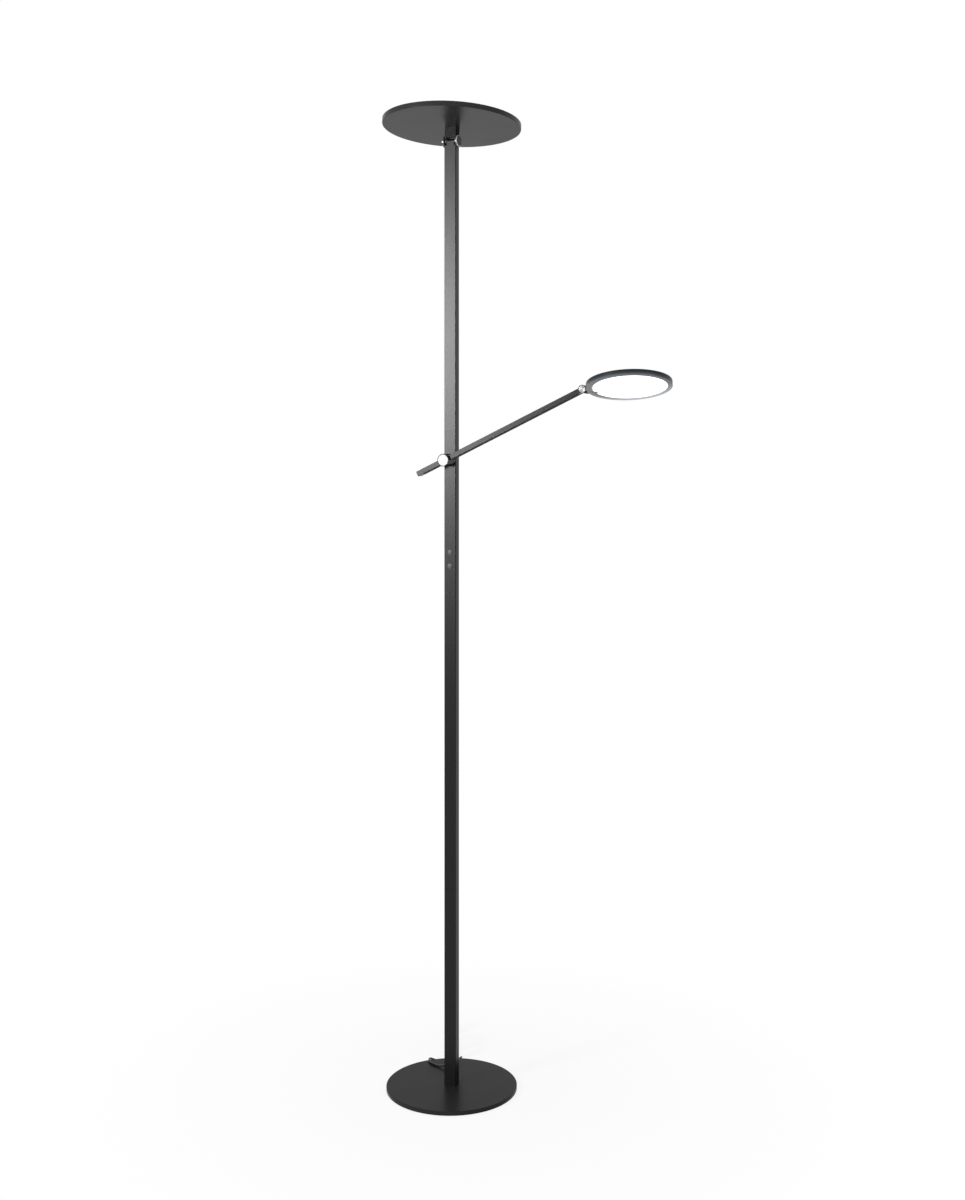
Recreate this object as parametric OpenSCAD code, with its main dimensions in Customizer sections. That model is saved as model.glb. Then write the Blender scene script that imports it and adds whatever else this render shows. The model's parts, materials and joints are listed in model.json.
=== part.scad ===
// Floor lamp: a tilting disc uplighter on a slim rectangular pole, with a hinged reading
// arm that carries a small disc light. All sizes are in millimetres.
// Origin: on the floor, on the pole's axis. +Z is up, -Y is the front (the side with the
// buttons), +X is the side to which the reading arm points.

/* [Base] */
// Diameter of the steel base plate
base_d = 253; // [210:1:320]
// Thickness of the steel base plate
base_t = 8; // [7:0.5:14]
// Chamfer along both rims of the plate
base_chamfer = 0.8; // [0.3:0.1:2]
// Thickness of the non-slip pad under the plate
pad_t = 0.8; // [0.5:0.1:3]
// How far the pad stays inside the rim
pad_inset = 2.5; // [1:0.5:10]
// Depth of the pocket in the plate that locates the pole
pocket_depth = 1; // [0.5:0.1:2]

/* [Pole] */
// Width of the pole, seen from the front
pole_w = 25; // [22:1:36]
// Depth of the pole, front to back
pole_d = 15; // [15:1:24]
// Wall of the pole tube
pole_wall = 1.2; // [1:0.1:2]
// Outer corner radius of the pole tube
pole_corner = 1.2; // [0.6:0.1:2.5]
// Length of the lowest tube
foot_len = 380; // [320:1:440]
// Length of each of the two middle tubes
mid_len = 573; // [500:1:650]
// Length of the top tube
top_len = 285; // [180:0.5:400]
// Open joint between two tubes
seam = 0.3; // [0.1:0.05:0.6]
// Length of the sleeve inside each joint
sleeve_len = 60; // [40:1:64]
// Wall of that sleeve
sleeve_wall = 1.5; // [1:0.1:2]
// Height of the solid plug inside the pole's foot
plug_h = 26; // [18:1:30]

/* [Uplight] */
// Diameter of the upper disc
uplight_d = 270; // [220:5:340]
// Thickness of the upper disc
uplight_t = 9.7; // [9:0.1:14]
// How far the disc leans back from level
uplight_lean = 5.9; // [0:0.1:15]
// How far the disc's middle stands in front of the fork's middle
uplight_forward = 3; // [0:0.5:6]
// Width of the ring round the upper diffuser
uplight_ring = 6; // [4:0.5:12]

/* [Uplight hinge] */
// Height of the hinge axis over the top of the tubes
hinge_rise = 18; // [16:0.5:26]
// Height of the fork block over the hinge axis
fork_h = 27.5; // [22:0.5:40]
// Thickness of each fork ear
ear_t = 4; // [3:0.1:5]
// Hinge pin diameter
hinge_pin_d = 6; // [4:0.5:7]
// Diameter of the chrome side caps
side_cap_d = 22.8; // [18:0.2:26]
// Thickness of the chrome side caps
side_cap_t = 3.8; // [3.4:0.1:6]

/* [Dimmer buttons] */
// Height of the lower button over the joint between the two middle tubes
button_rise = 52.9; // [50.9:0.5:158.9]
// Distance between the two buttons
button_pitch = 26.5; // [20:0.5:34]
// Diameter of a button
button_d = 10; // [8:0.5:12]
// How far a button stands out of the pole
button_proud = 1.6; // [1.2:0.1:3]
// How far a button can be pressed
button_travel = 0.8; // [0.4:0.1:1]

/* [Arm] */
// Height of the arm's pivot over the joint between the two middle tubes
pivot_rise = 258.5; // [188.5:0.5:358.5]
// Distance from the pole's axis to the middle of the arm
arm_y = 24.5; // [23:0.5:34]
// Height of the arm's tube
arm_h = 10; // [9:0.5:14]
// Depth of the arm's tube
arm_d = 15; // [15:0.5:20]
// Wall of the arm's tube
arm_wall = 1; // [0.8:0.1:1.5]
// From the pivot to the knuckle's axis
arm_len = 315; // [240:5:420]
// From the pivot to the free end of the stub
stub_len = 65.5; // [50:0.1:90]
// Visible length of the cap on the stub
end_cap_len = 10.5; // [6:0.5:16]
// Angle of the arm over the horizontal
arm_angle = 24.8; // [0:0.1:40]
// Diameter of the pivot's barrel
barrel_d = 24; // [22:0.5:32]
// Diameter of the pivot's spindle
spindle_d = 8; // [6:0.5:10]
// Thickness of the chrome cap on the pivot
pivot_cap_t = 3.6; // [3:0.1:6]

/* [Knuckle] */
// Diameter of the spun cap on the knuckle
knuckle_cap_d = 15.8; // [14:0.2:20]
// Thickness of that cap
knuckle_cap_t = 2.2; // [1.6:0.1:4]
// Diameter of the knuckle's pin
knuckle_pin_d = 5; // [4:0.5:5.5]
// Thickness of the tongue between the fork's ears
tongue_t = 7.2; // [6:0.1:8]
// From the knuckle's axis to the middle of the reading disc, along the disc
reach = 89; // [89:0.5:110]
// How far the swivel lies below the knuckle's axis
swivel_drop = 5; // [4.5:0.1:5.6]
// Diameter of the hollow swivel pin
swivel_d = 5; // [4:0.5:5.5]

/* [Reading light] */
// Diameter of the reading disc
reading_d = 158; // [140:1:158]
// Thickness of the reading disc
reading_t = 10.3; // [10:0.1:14]
// Width of the ring round the lower diffuser
reading_ring = 8.8; // [8:0.1:14]
// Slope of the disc along the arm
reading_pitch = 7.4; // [0:0.1:15]
// How far the disc's front edge is turned up
reading_roll = 13.7; // [0:0.1:25]

/* [Light heads] */
// Wall and floor of both metal pans
pan_wall = 1.5; // [1.2:0.1:2]
// Thickness of the light guides
guide_t = 3; // [2.5:0.1:4]
// Thickness of the opal diffusers
diffuser_t = 1.5; // [1:0.1:2]
// Thickness of the ring that holds a diffuser
ring_lip = 0.8; // [0.6:0.1:1.2]

/* [Cord] */
// Diameter of the round two-core lead
cord_d = 4; // [3.6:0.1:4]
// Height of the outlet in the pole's rear face
outlet_z = 45; // [45:1:46]
// Length of the tapered strain relief behind the pole
relief_len = 23.5; // [20:0.5:24]

/* [Fits] */
// Radial clearance of a pin or shaft that turns in its bore
running = 0.05; // [0.02:0.01:0.1]
// Clearance of a piece that is pushed into another by hand
slip = 0.1; // [0.05:0.05:0.2]
// Side gap between faces that turn past each other
side_gap = 0.3; // [0.2:0.05:0.5]

/* [Hidden] */
$fn = 64;
little = 0.01;

floor_top = pad_t + base_t;
foot_z = floor_top - pocket_depth;
seam_1 = foot_z + foot_len;
seam_2 = seam_1 + seam + mid_len;
seam_3 = seam_2 + seam + mid_len;
tubes_top = seam_3 + seam + top_len;
button_z = seam_2 + button_rise;
pivot_z = seam_2 + pivot_rise;
hinge_z = tubes_top + hinge_rise;
bore_w = pole_w - 2 * pole_wall;
bore_d = pole_d - 2 * pole_wall;
front_y = -pole_d / 2;
inner_y = bore_d / 2;
fill_w = bore_w - 2 * slip;
fill_d = bore_d - 2 * slip;

bolt_d = 8;
bolt_head_d = 13;
bolt_head_h = 3;
bolt_washer_d = 18;
bolt_washer_t = 1.3;
bolt_recess_d = 20;
bolt_recess_h = bolt_head_h + bolt_washer_t + 0.3;
bolt_top = foot_z + plug_h - 4;

wire_d = 3.4;
wire_y = 2.7;
driver_z = 130;
driver_len = 120;
driver_d = 9.6;

board_t = 1.2;
board_w = 18;
board_front_y = -0.6;
board_z0 = button_z - 18;
board_z1 = button_z + button_pitch + 18;
carrier_wall = (fill_w - board_w) / 2 - slip;
carrier_lip = 0.8;
switch_side = 6;
plunger_d = 3;
plunger_h = 0.5;
flange_d = button_d + 2.4;
flange_t = 1;
flange_y = -inner_y + 0.1;
stem_d = 3.4;
stem_end_y = flange_y + flange_t + 0.4;
switch_y = stem_end_y + button_travel + 0.05 + plunger_h;

washer_t = 0.7;
ear_r = pole_d / 2;
ear_in = pole_w / 2 - ear_t;
tongue_half = ear_in - washer_t - side_gap / 2;
tongue_d = pole_d - 3;
tongue_r = tongue_d / 2;
shoulder_h = hinge_rise - ear_r - 0.8;
crotch_h = tongue_r + 0.7;
hinge_washer_d = 11.6;
pin_head_d = 10;
pin_head_h = 2.2;
hinge_nut_af = 9;
hinge_nut_h = 2.4;
cap_bore_d = 13;
cap_bore_h = 2.9;

uplight_r = uplight_d / 2;
sheet_t = 0.5;
strip_t = 0.5;
led_h = 1;
led_w = 2.4;
uplight_face = uplight_t - ring_lip;
uplight_stack = uplight_face - diffuser_t - guide_t - sheet_t;
pan_screw_d = 4;
pan_screw_head_d = 7;
pan_screw_x = 7;
pan_screw_len = 12;

boss_front_y = -(arm_y - arm_d / 2) + 3.3;
friction_t = 0.7;
barrel_back_y = boss_front_y - friction_t - running;
barrel_front_y = -(arm_y + arm_d / 2) - 2;
nut_recess_d = 18;
nut_recess_h = 8;
recess_y = barrel_front_y + nut_recess_h;
plate_t = 1.5;
spindle_head_d = 12;
spindle_head_h = 2.6;
spring_t = 1;
spring_d = 15;
pivot_nut_af = 13;
pivot_nut_h = 4.5;
spindle_end_y = recess_y - spring_t - pivot_nut_h - 1;

lug_h = arm_h - 2 * arm_wall - 2 * slip;
lug_d = arm_d - 2 * arm_wall - 2 * slip;
lug_len = 24;
tube_start = barrel_d / 2 + 0.2;
stub_end = stub_len - end_cap_len;
arm_corner = 0.8;
knuckle_r = 7.6;
fork_root = 8.1;
tube_end = arm_len - fork_root - 2.4;
fork_plug = 20;
knuckle_x = arm_len * cos(arm_angle);
knuckle_z = pivot_z + arm_len * sin(arm_angle);
slot_w = tongue_t + 2 * side_gap;
knuckle_nut_d = 8.6;
knuckle_nut_h = 3;

reading_r = reading_d / 2;
neck_in = knuckle_r + 0.8;
neck_end = reach - reading_r - 0.6;
neck_w = 12;
neck_top = 5.2;
neck_low = swivel_drop + 4.4;
swivel_r = swivel_d / 2;
socket_w = 12;
socket_in = reading_r - pan_wall - 6.5;
clip_t = 1.2;
clip_r = 3.3;
groove_r = swivel_r - 0.4;
clip_pocket = socket_in + 3.4;
swivel_end = socket_in + 0.4;
tab_r = 4;
tab_in = reading_r - reading_ring - 6.2 + tab_r;
reading_face = -reading_t / 2 + ring_lip;
reading_stack = reading_face + diffuser_t + guide_t + sheet_t;

relief_d = 9.4;
relief_tip_d = 6;
relief_neck_d = 6.6;

// The lead's way from the strain relief over the plate's rear rim to the hank.
lead_route = [[0, 31, 45], [0, 35, 45], [0, 38.5, 45], [-1.5, 45, 43.8], [-4.5, 50.8, 41.2],
    [-8.7, 55.2, 37.7], [-13.8, 58.2, 33.7], [-19.3, 60, 29.6], [-25.1, 60.8, 25.6],
    [-31.1, 61, 21.8], [-37.4, 61, 18.4], [-43.9, 60.8, 15.5], [-50.6, 60.9, 13.2],
    [-57.5, 61.4, 11.6], [-64.5, 62.5, 11], [-71.4, 64.4, 11], [-78, 67.1, 11],
    [-83.9, 71, 11], [-88.8, 76.2, 11.2], [-91.8, 82.6, 11.4], [-92.9, 86.1, 11.1],
    [-93, 89.5, 10.1], [-90.2, 95.4, 7], [-85.7, 99.9, 4], [-79.8, 103.4, 2.4],
    [-74, 107.5, 2.1], [-70.1, 113.3, 2.1], [-69.2, 120.2, 2.1], [-71.34, 126.36, 2.14],
    [-73.14, 129.93, 2.14]];
lead_sides = 10;

// The hank stands on edge behind the base, on the line of sight from the front right
// through the pole. Its own x runs away along that line, y down and z to the right.
hank_dir = 26.8;
hank_t = 187;
hank_q = -6.7;
hank_c = 21.4;
hank_half = 34;
hank_r = 12.1;
hank_step = 4.52;
hank_rise = 4.45;
hank_draw = 4;
hank_loops = 6;
hank_steps = 24;
hank_last = hank_loops * hank_steps + 2;
hank_sides = 6;
tie_w = 9;
tie_t = 1;
plug_x = 78;
plug_len = 36;
plug_w = 35;
plug_drop = 3.9;
plug_t = 13.7;
plug_back_w = 12;
plug_pin_d = 4;
plug_pin_len = 19;
plug_pin_pitch = 19;

// Outlines

module rounded_rect(w, d, r) {
    square([w - 2 * r, d], center = true);
    square([w, d - 2 * r], center = true);
    for (x = [-1, 1], y = [-1, 1])
        translate([x * (w / 2 - r), y * (d / 2 - r)])
            circle(r = r);
}

module bar(w, d, r, z0, z1) {
    translate([0, 0, z0])
        linear_extrude(height = z1 - z0)
            rounded_rect(w, d, r);
}

module block(x0, x1, y0, y1, z0, z1) {
    translate([x0, y0, z0])
        cube([x1 - x0, y1 - y0, z1 - z0]);
}

module x_rod(r, x0, x1) {
    translate([x0, 0, 0])
        rotate([0, 90, 0])
            cylinder(r = r, h = x1 - x0);
}

module y_rod(r, y0, y1) {
    translate([0, y1, 0])
        rotate([90, 0, 0])
            cylinder(r = r, h = y1 - y0);
}

module z_ring(r0, r1, z0, z1) {
    difference() {
        translate([0, 0, z0])
            cylinder(r = r1, h = z1 - z0);
        translate([0, 0, z0 - little])
            cylinder(r = r0, h = z1 - z0 + 2 * little);
    }
}

// Places

module at_hinge() {
    translate([0, 0, hinge_z])
        children();
}

module at_head() {
    translate([0, 0, hinge_z])
        rotate([-uplight_lean, 0, 0])
            children();
}

module at_upper_disc() {
    at_head()
        translate([0, -uplight_forward, fork_h])
            children();
}

module at_pivot() {
    translate([0, 0, pivot_z])
        children();
}

module at_arm() {
    translate([0, -arm_y, pivot_z])
        rotate([0, -arm_angle, 0])
            children();
}

module at_arm_end() {
    at_arm()
        translate([arm_len, 0, 0])
            children();
}

module at_knuckle() {
    translate([knuckle_x, -arm_y, knuckle_z])
        rotate([0, -reading_pitch, 0])
            children();
}

module at_swivel() {
    at_knuckle()
        translate([0, 0, -swivel_drop])
            children();
}

module at_lower_disc() {
    at_swivel()
        translate([reach, 0, 0])
            rotate([-reading_roll, 0, 0])
                children();
}

module at_hank() {
    rotate([0, 0, 90 + hank_dir])
        translate([hank_t, -hank_q, hank_c])
            rotate([-90, 0, 0])
                mirror([0, 0, 1])
                    children();
}

// Base

module base_plate() {
    r = base_d / 2;
    c = base_chamfer;
    color("dimgray")
        translate([0, 0, pad_t])
            difference() {
                rotate_extrude()
                    polygon([[0, 0], [r - c, 0], [r, c], [r, base_t - c],
                        [r - c, base_t], [0, base_t]]);
                translate([0, 0, base_t - pocket_depth])
                    linear_extrude(height = pocket_depth + little)
                        square([pole_w + 2 * slip, pole_d + 2 * slip], center = true);
                translate([0, 0, -little])
                    cylinder(r = bolt_recess_d / 2, h = bolt_recess_h + little);
                translate([0, 0, -little])
                    cylinder(r = bolt_d / 2 + slip, h = base_t + 2 * little);
            }
}

module base_pad() {
    color("black")
        z_ring(bolt_recess_d / 2 + 1, base_d / 2 - pad_inset, 0, pad_t);
}

module foot_plug() {
    color("silver")
        difference() {
            bar(fill_w, fill_d, 0.6, foot_z, foot_z + plug_h);
            translate([0, 0, foot_z - little])
                cylinder(r = bolt_d / 2 + running, h = bolt_top - foot_z + 1);
        }
}

module base_bolt() {
    head_z = pad_t + 0.3;
    color("gray") {
        difference() {
            translate([0, 0, head_z])
                cylinder(r = bolt_head_d / 2, h = bolt_head_h);
            translate([0, 0, head_z - little])
                cylinder(r = 3, h = bolt_head_h - 1, $fn = 6);
        }
        translate([0, 0, head_z + bolt_head_h - little])
            cylinder(r = bolt_d / 2, h = bolt_top - head_z - bolt_head_h + little);
    }
}

module base_washer() {
    z0 = pad_t + bolt_recess_h - bolt_washer_t;
    color("silver")
        z_ring(bolt_d / 2 + slip, bolt_washer_d / 2, z0, z0 + bolt_washer_t);
}

// Pole

module pole_length(z0, z1) {
    difference() {
        bar(pole_w, pole_d, pole_corner, z0, z1);
        translate([0, 0, z0 - little])
            linear_extrude(height = z1 - z0 + 2 * little)
                square([bore_w, bore_d], center = true);
    }
}

module pole_foot() {
    color("dimgray")
        difference() {
            pole_length(foot_z, seam_1);
            translate([0, 0, outlet_z])
                y_rod(relief_neck_d / 2 + slip, 0, pole_d);
        }
}

module pole_lower() {
    color("dimgray")
        pole_length(seam_1 + seam, seam_2);
}

module pole_upper() {
    color("dimgray")
        difference() {
            pole_length(seam_2 + seam, seam_3);
            for (z = [button_z, button_z + button_pitch])
                translate([0, 0, z])
                    y_rod(button_d / 2 + slip, -pole_d, 0);
            at_pivot()
                y_rod(spindle_d / 2 + slip, -pole_d, 0);
        }
}

module pole_top() {
    color("dimgray")
        pole_length(seam_3 + seam, tubes_top);
}

module joint_sleeves() {
    color("silver")
        for (z = [seam_1, seam_2, seam_3])
            difference() {
                bar(fill_w, fill_d, 0.6, z - sleeve_len / 2, z + sleeve_len / 2);
                translate([0, 0, z - sleeve_len])
                    linear_extrude(height = 2 * sleeve_len)
                        square([fill_w - 2 * sleeve_wall, fill_d - 2 * sleeve_wall],
                            center = true);
            }
}

module led_driver() {
    color("whitesmoke")
        block(-fill_w / 2, fill_w / 2, inner_y - slip - driver_d, inner_y - slip,
            driver_z, driver_z + driver_len);
}

module supply_wire() {
    color("black") {
        translate([0, wire_y, outlet_z])
            cylinder(r = wire_d / 2, h = driver_z - outlet_z);
        translate([0, wire_y, outlet_z])
            sphere(r = wire_d / 2);
        translate([0, 0, outlet_z])
            y_rod(wire_d / 2, wire_y, inner_y - 1.7);
    }
}

module pole_wire() {
    color("black")
        translate([0, wire_y, driver_z + driver_len])
            cylinder(r = wire_d / 2, h = tubes_top - 40 - driver_z - driver_len);
}

module switch_board() {
    color("darkgreen")
        block(-board_w / 2, board_w / 2, board_front_y, board_front_y + board_t,
            board_z0, board_z1);
    for (z = [button_z, button_z + button_pitch]) {
        color("dimgray")
            block(-switch_side / 2, switch_side / 2, switch_y, board_front_y + little,
                z - switch_side / 2, z + switch_side / 2);
        color("black")
            translate([0, 0, z])
                y_rod(plunger_d / 2, switch_y - plunger_h, switch_y + little);
    }
}

module board_carrier() {
    back_y = board_front_y + board_t;
    side_x = board_w / 2 + slip;
    lip_y = board_front_y - slip;
    color("ivory")
        difference() {
            block(-fill_w / 2, fill_w / 2, lip_y - 1, inner_y - slip, board_z0, board_z1);
            block(-side_x, side_x, lip_y, back_y, board_z0 - 1, board_z1 + 1);
            block(-side_x + carrier_lip, side_x - carrier_lip, lip_y - 2, back_y,
                board_z0 - 1, board_z1 + 1);
            block(-wire_d / 2 - 0.5, wire_d / 2 + 0.5, back_y - little,
                wire_y + wire_d / 2 + 0.4, board_z0 - 1, board_z1 + 1);
        }
}

module button() {
    dome = 0.6;
    r = button_d / 2;
    ball_r = (r * r + dome * dome) / (2 * dome);
    top_y = front_y - button_proud;
    color("gray") {
        intersection() {
            y_rod(r, top_y - 1, flange_y + little);
            translate([0, top_y + ball_r, 0])
                sphere(r = ball_r, $fn = 128);
        }
        y_rod(flange_d / 2, flange_y, flange_y + flange_t);
        y_rod(stem_d / 2, flange_y + flange_t - little, stem_end_y);
    }
}

module button_upper() {
    translate([0, 0, button_z + button_pitch])
        button();
}

module button_lower() {
    translate([0, 0, button_z])
        button();
}

// Uplight hinge

module hinge_tongue() {
    root = shoulder_h - hinge_rise;
    color("dimgray")
        difference() {
            union() {
                bar(fill_w, fill_d, 0.6, tubes_top - 40, tubes_top + little);
                bar(pole_w, pole_d, pole_corner, tubes_top, tubes_top + shoulder_h);
                at_hinge()
                    x_rod(tongue_r, -tongue_half, tongue_half);
                at_hinge()
                    block(-tongue_half, tongue_half, -tongue_r, tongue_r, root - little, 0);
            }
            at_hinge()
                x_rod(hinge_pin_d / 2 + running, -pole_w, pole_w);
        }
}

module hinge_washers() {
    x0 = tongue_half + side_gap / 4;
    color("ivory")
        at_hinge()
            for (m = [0, 1])
                mirror([m, 0, 0])
                    difference() {
                        x_rod(hinge_washer_d / 2, x0, x0 + washer_t);
                        x_rod(hinge_pin_d / 2 + running, 0, pole_w);
                    }
}

module hinge_fork() {
    color("dimgray")
        at_head()
            difference() {
                union() {
                    bar(pole_w, pole_d, pole_corner, crotch_h, fork_h);
                    for (m = [0, 1])
                        mirror([m, 0, 0]) {
                            x_rod(ear_r, ear_in, pole_w / 2);
                            block(ear_in, pole_w / 2, -ear_r, ear_r, 0, crotch_h + 2);
                        }
                }
                x_rod(hinge_pin_d / 2 + running, -pole_w, pole_w);
                for (m = [0, 1])
                    mirror([m, 0, 0])
                        translate([pan_screw_x, 0, fork_h - pan_screw_len + 2])
                            cylinder(r = pan_screw_d / 2 + running, h = pan_screw_len);
            }
}

module hinge_pin() {
    color("silver")
        at_head() {
            x_rod(pin_head_d / 2, -pole_w / 2 - pin_head_h, -pole_w / 2);
            x_rod(hinge_pin_d / 2, -pole_w / 2 - little, pole_w / 2 + hinge_nut_h);
        }
}

module hinge_nut() {
    color("silver")
        at_head()
            difference() {
                translate([pole_w / 2, 0, 0])
                    rotate([0, 90, 0])
                        cylinder(r = hinge_nut_af / 2 / cos(30), h = hinge_nut_h, $fn = 6);
                x_rod(hinge_pin_d / 2 + running, 0, pole_w);
            }
}

module hinge_caps() {
    r = side_cap_d / 2;
    t = side_cap_t;
    e = 0.9;
    color("white")
        at_head()
            for (m = [0, 1])
                mirror([m, 0, 0])
                    translate([pole_w / 2, 0, 0])
                        rotate([0, 90, 0])
                            difference() {
                                rotate_extrude($fn = 96)
                                    polygon([[0, 0], [r - 0.3, 0], [r, 0.3], [r, t - e],
                                        [r - 0.3 * e, t - 0.3 * e], [r - e, t], [0, t]]);
                                translate([0, 0, -little])
                                    cylinder(r = cap_bore_d / 2, h = cap_bore_h + little);
                            }
}

// Uplight

module uplight_pan() {
    r = uplight_r;
    e = 1;
    color("dimgray")
        at_upper_disc()
            difference() {
                union() {
                    difference() {
                        rotate_extrude($fn = 128)
                            polygon([[0, 0], [r - e, 0], [r - 0.3 * e, 0.3 * e], [r, e],
                                [r, uplight_face], [0, uplight_face]]);
                        translate([0, 0, pan_wall])
                            cylinder(r = r - pan_wall, h = uplight_t, $fn = 128);
                    }
                    z_ring(44, 47, pan_wall - little, uplight_stack);
                    z_ring(r - 14, r - 11, pan_wall - little, uplight_stack);
                }
                for (x = [-1, 1])
                    translate([x * pan_screw_x, uplight_forward, -1])
                        cylinder(r = pan_screw_d / 2 + slip, h = pan_wall + 2);
            }
}

module uplight_screws() {
    color("silver")
        at_head()
            for (x = [-1, 1])
                translate([x * pan_screw_x, 0, fork_h + pan_wall]) {
                    translate([0, 0, -pan_wall - pan_screw_len + 3])
                        cylinder(r = pan_screw_d / 2, h = pan_screw_len + pan_wall - 2);
                    cylinder(r = pan_screw_head_d / 2, h = 1.8);
                }
}

module uplight_reflector() {
    color("white")
        at_upper_disc()
            translate([0, 0, uplight_stack])
                cylinder(r = uplight_r - pan_wall - 0.3, h = sheet_t);
}

// A strip of emitters round the edge, open over the angle gap on the -X side.
module led_ring(r, z0, count, gap) {
    rotate([0, 0, 180 + gap / 2])
        rotate_extrude(angle = 360 - gap, $fn = 128)
            translate([r - strip_t, z0])
                square([strip_t, guide_t]);
    for (i = [0:count - 1])
        rotate([0, 0, 180 + gap / 2 + (i + 0.5) * (360 - gap) / count])
            block(r - strip_t - led_h, r - strip_t + 0.1, -led_w / 2, led_w / 2,
                z0 + 0.4, z0 + guide_t - 0.4);
}

module uplight_led_strip() {
    color("khaki")
        at_upper_disc()
            led_ring(uplight_r - pan_wall - slip, uplight_stack + sheet_t, 36, 0);
}

module uplight_guide() {
    color("aliceblue")
        at_upper_disc()
            translate([0, 0, uplight_stack + sheet_t])
                cylinder(r = uplight_r - pan_wall - strip_t - led_h - 0.5, h = guide_t);
}

module uplight_diffuser() {
    color("white")
        at_upper_disc()
            translate([0, 0, uplight_face - diffuser_t])
                cylinder(r = uplight_r - pan_wall - slip, h = diffuser_t);
}

module trim_ring(r, inner, lip) {
    rotate_extrude($fn = 128)
        polygon([[inner, 0], [r, 0], [r, lip - 0.4], [r - 0.4, lip], [inner + 0.3, lip],
            [inner, lip - 0.3]]);
}

module uplight_ring() {
    color("dimgray")
        at_upper_disc()
            translate([0, 0, uplight_face])
                trim_ring(uplight_r, uplight_r - uplight_ring, ring_lip);
}

// Arm pivot

module pivot_boss() {
    color("dimgray")
        at_pivot()
            difference() {
                y_rod(barrel_d / 2, boss_front_y, front_y);
                y_rod(spindle_d / 2 + slip, -2 * arm_y, 0);
            }
}

module pivot_plate() {
    color("silver")
        at_pivot()
            difference() {
                block(-fill_w / 2, fill_w / 2, -inner_y, -inner_y + plate_t, -14, 14);
                y_rod(spindle_d / 2 + slip, -2 * arm_y, 0);
            }
}

module pivot_spindle() {
    head_y = -inner_y + plate_t;
    color("silver")
        at_pivot() {
            y_rod(spindle_head_d / 2, head_y, head_y + spindle_head_h);
            y_rod(spindle_d / 2, spindle_end_y, head_y + little);
        }
}

module friction_washer() {
    color("ivory")
        at_pivot()
            difference() {
                y_rod(barrel_d / 2 - 0.5, boss_front_y - friction_t, boss_front_y);
                y_rod(spindle_d / 2 + slip, -2 * arm_y, 0);
            }
}

module spring_washer() {
    color("silver")
        at_pivot()
            difference() {
                y_rod(spring_d / 2, recess_y - spring_t, recess_y - running);
                y_rod(spindle_d / 2 + slip, -2 * arm_y, 0);
            }
}

module pivot_nut() {
    y1 = recess_y - spring_t;
    color("silver")
        at_pivot()
            difference() {
                translate([0, y1, 0])
                    rotate([90, 0, 0])
                        cylinder(r = pivot_nut_af / 2 / cos(30), h = pivot_nut_h, $fn = 6);
                y_rod(spindle_d / 2 + running, -2 * arm_y, 0);
            }
}

module arm_barrel() {
    color("dimgray")
        at_arm()
            difference() {
                union() {
                    translate([0, arm_y, 0])
                        y_rod(barrel_d / 2, barrel_front_y, barrel_back_y);
                    block(-tube_start - lug_len, tube_start + lug_len, -lug_d / 2,
                        lug_d / 2, -lug_h / 2, lug_h / 2);
                }
                translate([0, arm_y, 0])
                    y_rod(spindle_d / 2 + running, -2 * arm_y, 0);
                translate([0, arm_y, 0])
                    y_rod(nut_recess_d / 2, barrel_front_y - 1, recess_y);
            }
}

module pivot_cap() {
    r = barrel_d / 2 + 0.2;
    t = pivot_cap_t;
    e = 0.7;
    color("white")
        at_arm()
            translate([0, arm_y + barrel_front_y, 0])
                rotate([90, 0, 0]) {
                    rotate_extrude($fn = 96)
                        polygon([[0, 0], [r - 0.3, 0], [r, 0.3], [r, t - e],
                            [r - 0.3 * e, t - 0.3 * e], [r - e, t], [0, t]]);
                    translate([0, 0, -1])
                        cylinder(r = nut_recess_d / 2 - slip, h = 1 + little);
                }
}

module arm_length(x0, x1) {
    difference() {
        translate([x0, 0, 0])
            rotate([90, 0, 90])
                linear_extrude(height = x1 - x0)
                    rounded_rect(arm_d, arm_h, arm_corner);
        block(x0 - 1, x1 + 1, -arm_d / 2 + arm_wall, arm_d / 2 - arm_wall,
            -arm_h / 2 + arm_wall, arm_h / 2 - arm_wall);
    }
}

module arm_stub() {
    color("dimgray")
        at_arm()
            arm_length(-stub_end, -tube_start);
}

module arm_end_cap() {
    e = 1;
    color("dimgray")
        at_arm() {
            translate([-stub_len + e, 0, 0])
                rotate([90, 0, 90])
                    linear_extrude(height = end_cap_len - e)
                        rounded_rect(arm_d, arm_h, arm_corner);
            translate([-stub_len, 0, 0])
                rotate([90, 0, 90])
                    linear_extrude(height = e + little)
                        rounded_rect(arm_d - 1, arm_h - 1, arm_corner);
            block(-stub_end - little, -stub_end + 10, -lug_d / 2, lug_d / 2,
                -lug_h / 2, lug_h / 2);
        }
}

module arm_tube() {
    color("dimgray")
        at_arm()
            arm_length(tube_start, tube_end);
}

module arm_wire() {
    color("black")
        at_arm()
            x_rod(wire_d / 2, tube_start + lug_len, tube_end - fork_plug);
}

module arm_fork() {
    color("dimgray")
        at_arm_end()
            difference() {
                union() {
                    y_rod(knuckle_r, -arm_d / 2, arm_d / 2);
                    translate([tube_end - arm_len, 0, 0])
                        rotate([90, 0, 90])
                            linear_extrude(height = arm_len - tube_end)
                                rounded_rect(arm_d, arm_h, arm_corner);
                    block(tube_end - arm_len - fork_plug, tube_end - arm_len + little,
                        -lug_d / 2, lug_d / 2, -lug_h / 2, lug_h / 2);
                }
                block(-fork_root, 2 * knuckle_r, -slot_w / 2, slot_w / 2, -2 * knuckle_r,
                    2 * knuckle_r);
                y_rod(knuckle_pin_d / 2 + running, -arm_d, arm_d);
            }
}

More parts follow.
